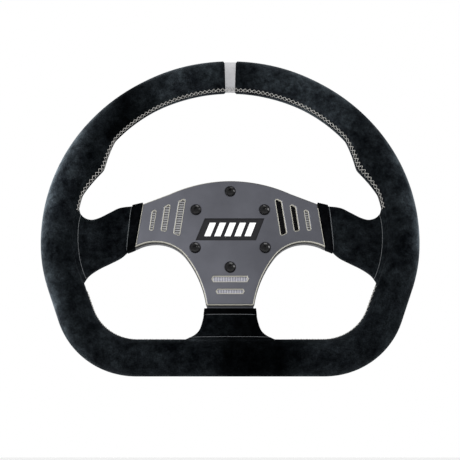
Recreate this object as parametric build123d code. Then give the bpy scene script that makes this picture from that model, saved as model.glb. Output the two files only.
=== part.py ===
from build123d import *
import os
from math import asin, atan, cos, degrees, radians, sin, tan

# A flat-bottomed three-spoke steering wheel on the wheel half of a quick release hub.
#
# Millimetres. The steering axis is the Y axis, the driver is on the -Y side and +Z is the top
# of the wheel. The origin is the centre of the mouth of the hub's column socket. A depth is a
# distance from that mouth towards the driver, and wheel-plane points are (x, z).

# The stack along the steering axis
HUB_LENGTH = 50.0
FLANGE_THICKNESS = 8.0
FRAME_THICKNESS = 5.0
PLATE_THICKNESS = 4.0
FLANGE_REAR = HUB_LENGTH - FLANGE_THICKNESS
FRAME_REAR = HUB_LENGTH
PLATE_REAR = FRAME_REAR + FRAME_THICKNESS
PLATE_FRONT = PLATE_REAR + PLATE_THICKNESS
RIM_DEPTH = 60.5

# The rim: a long top arc, a tighter side arc, a leaning straight, a corner arc and a flat bottom
RIM_RADIUS = 14.7
COVER_THICKNESS = 1.4
FOAM_RADIUS = RIM_RADIUS - COVER_THICKNESS
CORE_RADIUS = 8.0
CORE_BORE_RADIUS = 6.0
TOP_CENTRE = (0.0, 1.7)
TOP_RADIUS = 149.4
TOP_END_ANGLE = -7.0
SIDE_RADIUS = 126.6
LEAN_ANGLE = 22.7
CORNER_RADIUS = 56.6
BOTTOM_Z = -111.6
BAND_WIDTH = 10.0
BAND_RECESS = 0.6
THUMB_ANGLE = 25.7
THUMB_HALF_ANGLE = 11.8
THUMB_RISE = 7.0

# The bolt circle and its screws
BOLT_CIRCLE_RADIUS = 35.0
BOLT_COUNT = 6
SCREW_RADIUS = 2.5
SCREW_CLEARANCE_RADIUS = 2.75
SCREW_LENGTH = 16.0
HEAD_RADIUS = 4.75
HEAD_HEIGHT = 2.75
HEAD_EDGE_HEIGHT = 0.7
HEAD_SHOULDER_RADIUS = 4.0
HEAD_SHOULDER_HEIGHT = 1.9
HEAD_TOP_RADIUS = 2.6
HEAD_RECESS_RADIUS = 5.2
HEAD_RECESS = 0.8
HEX_ACROSS_FLATS = 3.0
HEX_DEPTH = 1.6

# The face plate and the frame under it
PLATE_TOP_Z = 45.4
PLATE_TOP_RADIUS = 121.7
PLATE_SHOULDER_X = 54.0
PLATE_TOP_CORNER = (77.6, 23.1)
PLATE_END_CORNER = (82.3, -16.6)
PLATE_ARCH_TOP = (64.3, -12.0)
PLATE_ARCH_END = (38.9, -24.0)
PLATE_NECK_MIDDLE = (26.3, -45.0)
PLATE_BOTTOM_CORNER = (19.8, -67.8)
PLATE_CORNER_RADIUS = 1.8
PLATE_EDGE_CHAMFER = 1.1
FRAME_MARGIN = 0.6
SLOT_CORNER = 0.7
SIDE_SLOTS = {
    "inner": [(39.3, 26.5), (41.0, 29.0), (46.2, 26.1), (50.2, -4.7), (43.6, -7.6)],
    "middle": [(52.5, 21.4), (54.3, 23.6), (58.7, 20.8), (61.2, -2.4), (55.5, -3.3)],
    "outer": [(64.7, 16.4), (66.2, 18.6), (69.6, 16.5), (71.4, -2.2), (67.0, -2.4)],
}
# half width, upper z and lower z of the two slots in the bottom spoke
BOTTOM_SLOTS = {"upper": (16.3, -42.1, -48.4), "lower": (12.7, -53.4, -58.6)}
BOTTOM_SLOT_POINT = 1.6
INLAY_GAP = 0.1
INLAY_SHRINK = PLATE_EDGE_CHAMFER + INLAY_GAP
INLAY_THICKNESS = 1.9
RIB_HEIGHT = 0.5
RIB_WIDTH = 1.0
RIB_PITCH = 2.2

# The emblem: a leaning pocket with plain bars
EMBLEM_HALF_WIDTH = 26.3
EMBLEM_TOP_Z = 9.4
EMBLEM_BOTTOM_Z = -10.9
EMBLEM_LEAN = 21.0
EMBLEM_POCKET = 1.6
EMBLEM_THICKNESS = 0.9
BAR_COUNT = 5
BAR_THICKNESS = 0.4
BAR_WIDTH = 5.4
BAR_PITCH = 8.8
BAR_HEIGHT = 12.4

# The spoke arms, their padded covers and the hems beside the plate
PAD_REAR = 48.0
PAD_FRONT = 59.0
PAD_EDGE_RADIUS = 4.0
HEM_REAR = 48.6
HEM_FRONT = 58.4
HEM_EDGE_RADIUS = 1.2
SIDE_ARM = [(60.0, 18.0), (80.0, 18.5), (97.0, 14.0), (106.0, 9.0), (120.0, 5.0), (148.0, 3.0),
            (146.5, -30.0), (118.0, -33.0), (103.0, -26.5), (93.0, -21.0), (82.0, -13.0), (60.0, -10.0)]
BOTTOM_ARM = [(19.6, -60.0), (19.8, -74.0), (20.5, -88.0), (22.0, BOTTOM_Z)]
SIDE_HEM = [(78.0, 25.0), (87.0, 22.7), (89.6, -20.3), (83.1, -17.6)]
BOTTOM_HEM = [(21.8, -70.2), (22.4, -75.6)]
SIDE_PAD_TOP = [SIDE_HEM[1], (98.3, 20.6), (106.9, 16.2), (115.6, 11.5), (122.5, 9.6),
                (128.9, 11.3), (133.7, 16.0), (136.8, 24.0), (142.0, 34.0)]
SIDE_PAD_LOW = [SIDE_HEM[2], (95.5, -25.5), (104.0, -30.2), (112.4, -34.5), (118.2, -38.7),
                (124.0, -44.6), (129.0, -51.5), (132.5, -59.0)]
SIDE_PAD_RIM = [SIDE_PAD_TOP[-1], (148.0, 34.0), (148.5, -18.0), (135.0, -62.0), SIDE_PAD_LOW[-1]]
BOTTOM_PAD_SIDE = [BOTTOM_HEM[1], (23.2, -80.2), (25.6, -87.6), (29.9, -92.2), (38.5, -96.6),
                   (52.0, -103.9)]

# The hub and what rides on it
FLANGE_RADIUS = 43.0
FLANGE_CHAMFER = 1.0
FLANGE_SCALLOP_RADIUS = 13.0
FLANGE_SCALLOP_CENTRE = 49.0
BARREL_RADIUS = 22.0
BARREL_CHAMFER = 0.8
PILOT_RADIUS = 17.5
PILOT_LENGTH = 12.0
THROAT_RADIUS = 17.0
INSERT_RADIUS = 19.0
INSERT_NEAR = 24.0
INSERT_FAR = 46.0
SPLINE_MINOR_RADIUS = 14.5
SPLINE_MAJOR_RADIUS = 16.5
SPLINE_COUNT = 18
SPLINE_ROOT_SHARE = 0.4
SPLINE_MOUTH_SHARE = 0.6
CAP_HOLE_RADIUS = 2.0
CAP_HOLE_CENTRE = 11.0
CAP_HOLE_FLOOR = 1.0
CUT_MARGIN = 1.0
RING_NEAR = 2.8
RING_THICKNESS = 1.2
RING_SEAT_RADIUS = 21.0
RING_OUTER_RADIUS = 24.2
RING_GAP = 7.0
RING_LUG_RADIUS = 2.4
RING_LUG_HOLE_RADIUS = 0.9

# The release collar slides towards the driver, and its ramp lets the balls out
COLLAR_NEAR = RING_NEAR + RING_THICKNESS
COLLAR_FAR = 32.0
COLLAR_TRAVEL = 8.0
COLLAR_BORE_RADIUS = 22.05
COLLAR_RADIUS = 28.0
COLLAR_LIP_RADIUS = 34.0
COLLAR_LIP_NEAR = 25.5
COLLAR_LIP_SLOPE = 2.0
COLLAR_CHAMFER = 1.0
FINGER_COUNT = 10
FINGER_RADIUS = 6.0
FINGER_CENTRE = 37.5
GROOVE_COUNT = 30
GROOVE_RADIUS = 0.9
GROOVE_NEAR = 8.0
GROOVE_FAR = 22.0
SPRING_SEAT = 24.0
SPRING_POCKET_RADIUS = 25.0
SPRING_COIL_RADIUS = 23.6
SPRING_WIRE_RADIUS = 0.9
SPRING_TURNS = 4.5
SPRING_END_GAP = 0.05

# The locking balls
BALL_COUNT = 6
BALL_RADIUS = 3.175
BALL_DEPTH = 17.5
BALL_LOCKED_RADIUS = 19.0
BALL_TRAVEL = 1.2
BALL_GAP = 0.02
BALL_END_GAP = 0.1
BALL_HOLE_RADIUS = 3.2
BALL_LIP_HOLE_RADIUS = 3.0
BALL_LIP_RADIUS = 17.9

SCREW_HEAD_SEAT = PLATE_FRONT - HEAD_RECESS
SIDE_CENTRE = (
    TOP_CENTRE[0] + (TOP_RADIUS - SIDE_RADIUS) * cos(radians(TOP_END_ANGLE)),
    TOP_CENTRE[1] + (TOP_RADIUS - SIDE_RADIUS) * sin(radians(TOP_END_ANGLE)),
)
BAND_HALF_ANGLE = degrees(asin(BAND_WIDTH / 2 / TOP_RADIUS))
MIDDLE = Plane.YZ


def write(node, shape):
    """Write one sub-part to its own file."""
    shape.label = node
    export_step(shape, f"parts/{node}.step")


def slab(outline, near, far):
    """A flat plate with a wheel-plane outline, between two depths."""
    return extrude(Plane.XZ.offset(near) * outline, far - near)


def polygon(points):
    """A closed wheel-plane outline through its corners."""
    return Sketch() + make_face(Polyline(*points, close=True))


def mirrored_polygon(points):
    """A closed outline whose other half is the mirror image of these corners."""
    return polygon(points + [(-x, z) for x, z in reversed(points)])


def turned(points):
    """A body turned about the steering axis, from (radius, depth) corners."""
    outline = Polyline(*[(radius, -depth) for radius, depth in points], close=True)
    return revolve(make_face(outline), Axis.Y)


def rod(x, z, radius, near, far):
    """A round bar parallel to the steering axis."""
    return slab(Pos(x, z) * Circle(radius), near, far)


def around(count, start=0.0):
    """Evenly spaced angles for a pattern round the steering axis."""
    return [start + step * 360.0 / count for step in range(count)]


def on_circle(centre, radius, angle):
    """The wheel-plane point at an angle on a circle."""
    return (
        centre[0] + radius * cos(radians(angle)),
        centre[1] + radius * sin(radians(angle)),
    )


# ---- The rim ----


def bend(centre, radius, start, turn, tube):
    """A stretch of round tube that turns clockwise round a centre in the wheel plane."""
    x, z = on_circle(centre, radius, start)
    along = (sin(radians(start)), 0.0, -cos(radians(start)))
    section = Plane(origin=(x, -RIM_DEPTH, z), z_dir=along) * Circle(tube)
    pivot = Axis((centre[0], -RIM_DEPTH, centre[1]), (0, 1, 0))
    return revolve(section, pivot, revolution_arc=turn)


def straight(start, end, tube):
    """A straight stretch of round tube between two wheel-plane points."""
    first = Vector(start[0], -RIM_DEPTH, start[1])
    step = Vector(end[0], -RIM_DEPTH, end[1]) - first
    return extrude(Plane(origin=first, z_dir=step) * Circle(tube), step.length)


def band_stretch(tube):
    """The stretch of rim under the centre band."""
    return bend(TOP_CENTRE, TOP_RADIUS, 90 + BAND_HALF_ANGLE, 2 * BAND_HALF_ANGLE, tube)


def upper_stretch(tube):
    """The right-hand rim from the centre band down to the spoke."""
    start = 90 - BAND_HALF_ANGLE
    return bend(TOP_CENTRE, TOP_RADIUS, start, start - TOP_END_ANGLE, tube)


def lower_stretch(tube):
    """The right-hand rim from the spoke round to the middle of the flat bottom."""
    side = bend(SIDE_CENTRE, SIDE_RADIUS, TOP_END_ANGLE, TOP_END_ANGLE + LEAN_ANGLE, tube)
    side_end = on_circle(SIDE_CENTRE, SIDE_RADIUS, -LEAN_ANGLE)
    corner_z = BOTTOM_Z + CORNER_RADIUS
    drop = side_end[1] - on_circle((0, corner_z), CORNER_RADIUS, -LEAN_ANGLE)[1]
    corner_start = (side_end[0] - drop * tan(radians(LEAN_ANGLE)), side_end[1] - drop)
    corner_centre = (corner_start[0] - CORNER_RADIUS * cos(radians(LEAN_ANGLE)), corner_z)
    lean = straight(side_end, corner_start, tube)
    corner = bend(corner_centre, CORNER_RADIUS, -LEAN_ANGLE, 90 - LEAN_ANGLE, tube)
    bottom = straight((corner_centre[0], BOTTOM_Z), (0.0, BOTTOM_Z), tube)
    return side + lean + corner + bottom


def full_ring(tube):
    """The whole closed rim at one tube radius."""
    right = upper_stretch(tube) + lower_stretch(tube)
    return right + mirror(right, about=MIDDLE) + band_stretch(tube)


def thumb_rest(tube):
    """Two straights that meet inside the top arc and swell the grip inwards under the thumb."""
    first = on_circle(TOP_CENTRE, TOP_RADIUS, THUMB_ANGLE + THUMB_HALF_ANGLE)
    peak = on_circle(TOP_CENTRE, TOP_RADIUS - THUMB_RISE, THUMB_ANGLE)
    last = on_circle(TOP_CENTRE, TOP_RADIUS, THUMB_ANGLE - THUMB_HALF_ANGLE)
    knuckle = Pos(peak[0], -RIM_DEPTH, peak[1]) * Sphere(tube)
    return straight(first, peak, tube) + knuckle + straight(peak, last, tube)


def make_rim(frame, core_outer, foam_outer):
    """The aluminium tube, its foam and the suede covers with the centre band."""
    write("rim_core", core_outer - full_ring(CORE_BORE_RADIUS))
    write("rim_foam", foam_outer - core_outer - frame)
    upper = upper_stretch(RIM_RADIUS) + thumb_rest(RIM_RADIUS) - foam_outer - frame
    lower = lower_stretch(RIM_RADIUS) - foam_outer - frame
    write("rim_cover_upper_right", upper)
    write("rim_cover_upper_left", mirror(upper, about=MIDDLE))
    write("rim_cover_lower_right", lower)
    write("rim_cover_lower_left", mirror(lower, about=MIDDLE))
    write("centre_band", band_stretch(RIM_RADIUS - BAND_RECESS) - foam_outer)


# ---- The face plate, the frame and the spoke covers ----


def plate_outline():
    """The outline of the face plate: a low top arc, two end edges and two lower arches."""
    centre_z = PLATE_TOP_Z - PLATE_TOP_RADIUS
    drop = PLATE_TOP_RADIUS * cos(asin(PLATE_SHOULDER_X / PLATE_TOP_RADIUS))
    shoulder = (PLATE_SHOULDER_X, centre_z + drop)
    half_angle = degrees(asin(PLATE_SHOULDER_X / PLATE_TOP_RADIUS))
    right = Polyline(shoulder, PLATE_TOP_CORNER, PLATE_END_CORNER)
    right += ThreePointArc(PLATE_END_CORNER, PLATE_ARCH_TOP, PLATE_ARCH_END)
    right += ThreePointArc(PLATE_ARCH_END, PLATE_NECK_MIDDLE, PLATE_BOTTOM_CORNER)
    top = CenterArc((0, centre_z), PLATE_TOP_RADIUS, 90 - half_angle, 2 * half_angle)
    bottom_left = (-PLATE_BOTTOM_CORNER[0], PLATE_BOTTOM_CORNER[1])
    bottom = Line(PLATE_BOTTOM_CORNER, bottom_left)
    left = mirror(right, about=MIDDLE)
    outline = Sketch() + make_face(Curve() + top + right + bottom + left)
    bottom_corners = outline.vertices().sort_by(Axis.Y)[:2]
    return fillet(bottom_corners, PLATE_CORNER_RADIUS)


def bottom_slot(size, gap):
    """A slot across the bottom spoke with pointed ends, shrunk by a gap."""
    half_width, top, low = size
    shoulder = half_width - BOTTOM_SLOT_POINT
    right = [(shoulder, top), (half_width, (top + low) / 2), (shoulder, low)]
    return offset(mirrored_polygon(right), -gap)


def side_slot(corners, gap):
    """A leaning slot with rounded corners, shrunk by a gap."""
    outline = offset(polygon(corners), -gap)
    return fillet(outline.vertices(), SLOT_CORNER)


def leaning_box(half_width, top, low):
    """A parallelogram that leans to the right and is centred on the steering axis."""
    shift = (top - low) / 2 * tan(radians(EMBLEM_LEAN))
    return polygon([
        (-half_width + shift, top),
        (half_width + shift, top),
        (half_width - shift, low),
        (-half_width - shift, low),
    ])


def bolt_points():
    """The wheel-plane points of the six screws."""
    return [on_circle((0, 0), BOLT_CIRCLE_RADIUS, angle) for angle in around(BOLT_COUNT, 90.0)]


def make_face_plate():
    """The face plate with its slots, emblem pocket and screw holes."""
    outline = plate_outline()
    for size in BOTTOM_SLOTS.values():
        outline -= bottom_slot(size, PLATE_EDGE_CHAMFER)
    for corners in SIDE_SLOTS.values():
        slot = side_slot(corners, PLATE_EDGE_CHAMFER)
        outline -= slot
        outline -= mirror(slot, about=MIDDLE)
    plate = slab(outline, PLATE_REAR, PLATE_FRONT)
    front = plate.faces().sort_by(Axis.Y)[0]
    plate = chamfer(front.edges(), PLATE_EDGE_CHAMFER)
    pocket = leaning_box(EMBLEM_HALF_WIDTH, EMBLEM_TOP_Z, EMBLEM_BOTTOM_Z)
    plate -= slab(pocket, PLATE_FRONT - EMBLEM_POCKET, PLATE_FRONT)
    for x, z in bolt_points():
        plate -= rod(x, z, SCREW_CLEARANCE_RADIUS, PLATE_REAR, PLATE_FRONT)
        plate -= rod(x, z, HEAD_RECESS_RADIUS, SCREW_HEAD_SEAT, PLATE_FRONT)
    write("face_plate", plate)


def ribbed(outline, low, high, upright=False):
    """An inlay with raised ribs between two heights or, if they are upright, two x positions."""
    top = PLATE_REAR + INLAY_THICKNESS
    body = slab(outline, PLATE_REAR, top)
    count = int((high - low) / RIB_PITCH)
    first = (high + low) / 2 - (count - 1) / 2 * RIB_PITCH
    rib = Rectangle(2 * PLATE_END_CORNER[0], RIB_WIDTH)
    stripes = Sketch()
    for step in range(count):
        place = first + step * RIB_PITCH
        stripes += Pos(place, 0) * Rot(0, 0, 90) * rib if upright else Pos(0, place) * rib
    return body + slab(outline & stripes, top, top + RIB_HEIGHT)


def make_inlays():
    """The ribbed inlays in the floors of the slots."""
    for name, corners in SIDE_SLOTS.items():
        heights = [z for _, z in corners]
        right = ribbed(side_slot(corners, INLAY_SHRINK), min(heights), max(heights))
        write(f"slot_inlay_{name}_right", right)
        write(f"slot_inlay_{name}_left", mirror(right, about=MIDDLE))
    for name, size in BOTTOM_SLOTS.items():
        inlay = ribbed(bottom_slot(size, INLAY_SHRINK), -size[0], size[0], upright=True)
        write(f"slot_inlay_bottom_{name}", inlay)


def make_emblem():
    """The dark emblem tile and its row of plain leaning bars."""
    floor = PLATE_FRONT - EMBLEM_POCKET
    top = floor + EMBLEM_THICKNESS
    tile = leaning_box(EMBLEM_HALF_WIDTH - INLAY_GAP, EMBLEM_TOP_Z - INLAY_GAP,
                       EMBLEM_BOTTOM_Z + INLAY_GAP)
    write("emblem_tile", slab(tile, floor, top))
    middle_z = (EMBLEM_TOP_Z + EMBLEM_BOTTOM_Z) / 2
    bars = []
    for step in range(BAR_COUNT):
        bar = leaning_box(BAR_WIDTH / 2, BAR_HEIGHT / 2, -BAR_HEIGHT / 2)
        place = Pos((step - (BAR_COUNT - 1) / 2) * BAR_PITCH, middle_z)
        bars.append(slab(place * bar, top, top + BAR_THICKNESS))
    write("emblem_bars", Compound(children=bars))


def make_screws():
    """Six button-head screws from the face plate into the hub flange."""
    head = turned([
        (0.0, SCREW_HEAD_SEAT),
        (HEAD_RADIUS, SCREW_HEAD_SEAT),
        (HEAD_RADIUS, SCREW_HEAD_SEAT + HEAD_EDGE_HEIGHT),
        (HEAD_SHOULDER_RADIUS, SCREW_HEAD_SEAT + HEAD_SHOULDER_HEIGHT),
        (HEAD_TOP_RADIUS, SCREW_HEAD_SEAT + HEAD_HEIGHT),
        (0.0, SCREW_HEAD_SEAT + HEAD_HEIGHT),
    ])
    screw = head + rod(0, 0, SCREW_RADIUS, SCREW_HEAD_SEAT - SCREW_LENGTH, SCREW_HEAD_SEAT)
    socket = RegularPolygon(HEX_ACROSS_FLATS / 2, 6, major_radius=False)
    top = SCREW_HEAD_SEAT + HEAD_HEIGHT
    screw -= slab(socket, top - HEX_DEPTH, top)
    screws = [Pos(x, 0, z) * screw for x, z in bolt_points()]
    write("face_screws", Compound(children=screws))


def make_frame(core_outer):
    """The three-armed frame plate, cut to sit against the rim tube."""
    side = polygon(SIDE_ARM)
    outline = offset(plate_outline(), FRAME_MARGIN)
    outline += side + mirror(side, about=MIDDLE) + mirrored_polygon(BOTTOM_ARM)
    frame = slab(outline, FRAME_REAR, PLATE_REAR) - core_outer
    for x, z in bolt_points():
        frame -= rod(x, z, SCREW_CLEARANCE_RADIUS, FRAME_REAR, PLATE_REAR)
    return frame


def side_pad_outline():
    """The right-hand spoke cover, running into the rim with a rounded corner each side."""
    edges = Curve() + Spline(SIDE_PAD_TOP) + Polyline(SIDE_PAD_RIM) + Spline(SIDE_PAD_LOW)
    return Sketch() + make_face(edges + Line(SIDE_HEM[1], SIDE_HEM[2]))


def bottom_pad_outline():
    """The bottom spoke cover, flared where it runs into the flat bottom of the rim."""
    corner = (BOTTOM_PAD_SIDE[-1][0], BOTTOM_Z)
    right = Curve() + Spline(BOTTOM_PAD_SIDE) + Line(BOTTOM_PAD_SIDE[-1], corner)
    top = Line(BOTTOM_HEM[1], (-BOTTOM_HEM[1][0], BOTTOM_HEM[1][1]))
    low = Line(corner, (-corner[0], BOTTOM_Z))
    return Sketch() + make_face(Curve() + top + right + low + mirror(right, about=MIDDLE))


def make_pad(outline):
    """A padded cover with its curved edges rounded."""
    body = slab(outline, PAD_REAR, PAD_FRONT)
    flats = body.faces().filter_by(Axis.Y)
    return fillet(flats.edges().filter_by(GeomType.BSPLINE), PAD_EDGE_RADIUS)


def make_hem(outline):
    """A folded hem with its edges rounded."""
    body = slab(outline, HEM_REAR, HEM_FRONT)
    flats = body.faces().filter_by(Axis.Y)
    return fillet(flats.edges(), HEM_EDGE_RADIUS)


def make_spoke_covers(frame, rim_outer):
    """The suede spoke covers and the hems beside the face plate."""
    side = make_pad(side_pad_outline()) - rim_outer - frame
    bottom = make_pad(bottom_pad_outline()) - rim_outer - frame
    write("spoke_cover_right", side)
    write("spoke_cover_left", mirror(side, about=MIDDLE))
    write("spoke_cover_bottom", bottom)
    hem = make_hem(polygon(SIDE_HEM)) - frame
    bottom_hem = make_hem(mirrored_polygon(BOTTOM_HEM)) - frame
    write("spoke_hem_right", hem)
    write("spoke_hem_left", mirror(hem, about=MIDDLE))
    write("spoke_hem_bottom", bottom_hem)


# ---- The quick release hub ----


def ball_angles():
    """The angles of the locking balls, between the bolts."""
    return around(BALL_COUNT, 60.0)


def radial(angle, shape):
    """Turn a shape that points along +X to an angle round the steering axis."""
    return Rot(0, -angle, 0) * shape


def bar_along_x(radius, near, far, depth):
    """A round bar that points away from the steering axis at a depth."""
    return extrude(Plane(origin=(near, -depth, 0), z_dir=(1, 0, 0)) * Circle(radius), far - near)


def make_hub():
    """The hub: a bolt flange and a barrel with the pilot bore, throat and insert bore."""
    hub = turned([
        (PILOT_RADIUS, 0.0),
        (BARREL_RADIUS - BARREL_CHAMFER, 0.0),
        (BARREL_RADIUS, BARREL_CHAMFER),
        (BARREL_RADIUS, RING_NEAR),
        (RING_SEAT_RADIUS, RING_NEAR),
        (RING_SEAT_RADIUS, RING_NEAR + RING_THICKNESS),
        (BARREL_RADIUS, RING_NEAR + RING_THICKNESS),
        (BARREL_RADIUS, FLANGE_REAR),
        (FLANGE_RADIUS - FLANGE_CHAMFER, FLANGE_REAR),
        (FLANGE_RADIUS, FLANGE_REAR + FLANGE_CHAMFER),
        (FLANGE_RADIUS, HUB_LENGTH),
        (INSERT_RADIUS, HUB_LENGTH),
        (INSERT_RADIUS, INSERT_NEAR),
        (THROAT_RADIUS, INSERT_NEAR),
        (THROAT_RADIUS, PILOT_LENGTH),
        (PILOT_RADIUS, PILOT_LENGTH),
    ])
    for x, z in bolt_points():
        hub -= rod(x, z, SCREW_RADIUS, FLANGE_REAR, HUB_LENGTH)
    for angle in around(BOLT_COUNT, 60.0):
        x, z = on_circle((0, 0), FLANGE_SCALLOP_CENTRE, angle)
        hub -= rod(x, z, FLANGE_SCALLOP_RADIUS, FLANGE_REAR, HUB_LENGTH)
    outside = BARREL_RADIUS + CUT_MARGIN
    wide = bar_along_x(BALL_HOLE_RADIUS, BALL_LIP_RADIUS, outside, BALL_DEPTH)
    narrow = bar_along_x(BALL_LIP_HOLE_RADIUS, THROAT_RADIUS - CUT_MARGIN, outside, BALL_DEPTH)
    for angle in ball_angles():
        hub -= radial(angle, wide + narrow)
    write("hub_body", hub)


def make_spline_insert():
    """The splined sleeve pressed into the hub, with one wide tooth so it fits one way round."""
    sleeve = turned([
        (SPLINE_MINOR_RADIUS, INSERT_NEAR),
        (INSERT_RADIUS, INSERT_NEAR),
        (INSERT_RADIUS, INSERT_FAR),
        (SPLINE_MINOR_RADIUS, INSERT_FAR),
    ])
    pitch = 360.0 / SPLINE_COUNT
    inner = SPLINE_MINOR_RADIUS - CUT_MARGIN
    root_half = SPLINE_MAJOR_RADIUS * sin(radians(pitch * SPLINE_ROOT_SHARE / 2))
    mouth_half = inner * sin(radians(pitch * SPLINE_MOUTH_SHARE / 2))
    groove = slab(polygon([
        (inner, mouth_half),
        (SPLINE_MAJOR_RADIUS, root_half),
        (SPLINE_MAJOR_RADIUS, -root_half),
        (inner, -mouth_half),
    ]), INSERT_NEAR, INSERT_FAR)
    for angle in around(SPLINE_COUNT, 90.0)[1:]:
        sleeve -= radial(angle, groove)
    write("spline_insert", sleeve)


def make_hub_cap():
    """The plug that closes the hub bore behind the frame, with two spanner holes."""
    cap = turned([(0.0, INSERT_FAR), (INSERT_RADIUS, INSERT_FAR),
                  (INSERT_RADIUS, HUB_LENGTH), (0.0, HUB_LENGTH)])
    for side in (-1, 1):
        floor = INSERT_FAR + CAP_HOLE_FLOOR
        cap -= rod(side * CAP_HOLE_CENTRE, 0, CAP_HOLE_RADIUS, floor, HUB_LENGTH)
    write("hub_cap", cap)


def make_collar():
    """The release collar: spring pocket, ball land, ramp, finger lip and grip grooves."""
    slope = BALL_TRAVEL / COLLAR_TRAVEL
    ramp_at_ball = BALL_LOCKED_RADIUS + (BALL_RADIUS + BALL_GAP) / cos(atan(slope))
    ramp_start = BALL_DEPTH + (ramp_at_ball - COLLAR_BORE_RADIUS) / slope
    ramp_end = BALL_DEPTH - COLLAR_TRAVEL - BALL_RADIUS - BALL_END_GAP
    ramp_top = ramp_at_ball + (BALL_DEPTH - ramp_end) * slope
    lip_start = COLLAR_LIP_NEAR - COLLAR_LIP_SLOPE
    collar = turned([
        (COLLAR_BORE_RADIUS, COLLAR_NEAR),
        (COLLAR_RADIUS - COLLAR_CHAMFER, COLLAR_NEAR),
        (COLLAR_RADIUS, COLLAR_NEAR + COLLAR_CHAMFER),
        (COLLAR_RADIUS, lip_start),
        (COLLAR_LIP_RADIUS - COLLAR_CHAMFER, COLLAR_LIP_NEAR),
        (COLLAR_LIP_RADIUS, COLLAR_LIP_NEAR + COLLAR_CHAMFER),
        (COLLAR_LIP_RADIUS, COLLAR_FAR - COLLAR_CHAMFER),
        (COLLAR_LIP_RADIUS - COLLAR_CHAMFER, COLLAR_FAR),
        (SPRING_POCKET_RADIUS, COLLAR_FAR),
        (SPRING_POCKET_RADIUS, SPRING_SEAT),
        (COLLAR_BORE_RADIUS, SPRING_SEAT),
        (COLLAR_BORE_RADIUS, ramp_start),
        (ramp_top, ramp_end),
        (COLLAR_BORE_RADIUS, ramp_end),
    ])
    for angle in around(FINGER_COUNT):
        x, z = on_circle((0, 0), FINGER_CENTRE, angle)
        collar -= rod(x, z, FINGER_RADIUS, lip_start, COLLAR_FAR)
    for angle in around(GROOVE_COUNT):
        x, z = on_circle((0, 0), COLLAR_RADIUS, angle)
        collar -= rod(x, z, GROOVE_RADIUS, GROOVE_NEAR, GROOVE_FAR)
    write("release_collar", collar)


def make_spring():
    """The coil spring that holds the collar on the balls."""
    near = SPRING_SEAT + SPRING_WIRE_RADIUS + SPRING_END_GAP
    far = FLANGE_REAR - SPRING_WIRE_RADIUS - SPRING_END_GAP
    coil = Helix((far - near) / SPRING_TURNS, far - near, SPRING_COIL_RADIUS)
    section = Plane(origin=coil @ 0, z_dir=coil % 0) * Circle(SPRING_WIRE_RADIUS)
    spring = sweep(section, path=coil)
    write("collar_spring", Pos(0, -near, 0) * (Rot(90, 0, 0) * spring))


def make_retaining_ring():
    """The spring ring at the mouth of the hub that stops the collar."""
    far = RING_NEAR + RING_THICKNESS
    ring = turned([(RING_SEAT_RADIUS, RING_NEAR), (RING_OUTER_RADIUS, RING_NEAR),
                   (RING_OUTER_RADIUS, far), (RING_SEAT_RADIUS, far)])
    ring -= slab(Pos(0, -RING_OUTER_RADIUS) * Rectangle(RING_GAP, RING_OUTER_RADIUS), RING_NEAR, far)
    lug_x = RING_GAP / 2 + RING_LUG_RADIUS
    lug_z = -RING_OUTER_RADIUS
    for side in (-1, 1):
        ring += rod(side * lug_x, lug_z, RING_LUG_RADIUS, RING_NEAR, far)
    for side in (-1, 1):
        ring -= rod(side * lug_x, lug_z, RING_LUG_HOLE_RADIUS, RING_NEAR, far)
    write("retaining_ring", ring)


def make_balls():
    """The locking balls, held inwards by the collar."""
    for number, angle in enumerate(ball_angles(), start=1):
        x, z = on_circle((0, 0), BALL_LOCKED_RADIUS, angle)
        write(f"locking_ball_{number}", Pos(x, -BALL_DEPTH, z) * Sphere(BALL_RADIUS))


os.makedirs("parts", exist_ok=True)
rim_outer = full_ring(RIM_RADIUS)
foam_outer = full_ring(FOAM_RADIUS)
core_outer = full_ring(CORE_RADIUS)
spoke_frame = make_frame(core_outer)
write("spoke_frame", spoke_frame)
make_rim(spoke_frame, core_outer, foam_outer)
make_face_plate()
make_inlays()
make_emblem()
make_screws()
make_spoke_covers(spoke_frame, rim_outer)
make_hub()
make_spline_insert()
make_hub_cap()
make_collar()
make_spring()
make_retaining_ring()
make_balls()
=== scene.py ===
import bmesh
import bpy
from math import cos, exp, pi, radians, sin, sqrt
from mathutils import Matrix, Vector


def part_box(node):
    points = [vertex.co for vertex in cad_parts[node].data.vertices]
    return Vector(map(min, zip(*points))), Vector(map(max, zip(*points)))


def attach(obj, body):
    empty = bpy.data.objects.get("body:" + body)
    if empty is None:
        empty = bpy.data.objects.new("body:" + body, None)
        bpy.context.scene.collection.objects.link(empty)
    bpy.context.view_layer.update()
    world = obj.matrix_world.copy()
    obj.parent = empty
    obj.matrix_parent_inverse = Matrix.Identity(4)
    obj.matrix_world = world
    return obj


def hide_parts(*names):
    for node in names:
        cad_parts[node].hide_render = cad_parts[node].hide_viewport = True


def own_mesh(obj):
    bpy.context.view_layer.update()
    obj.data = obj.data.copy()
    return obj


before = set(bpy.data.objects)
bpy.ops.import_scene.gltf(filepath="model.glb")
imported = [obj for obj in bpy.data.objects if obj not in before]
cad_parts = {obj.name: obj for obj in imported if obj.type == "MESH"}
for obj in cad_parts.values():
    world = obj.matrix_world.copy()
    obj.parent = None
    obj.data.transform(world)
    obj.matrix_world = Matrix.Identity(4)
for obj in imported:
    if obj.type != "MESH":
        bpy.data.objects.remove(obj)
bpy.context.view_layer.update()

# Metres throughout. The steering axis is Y, the driver is on the -Y side and +Z is the top.
MM = 0.001

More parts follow.
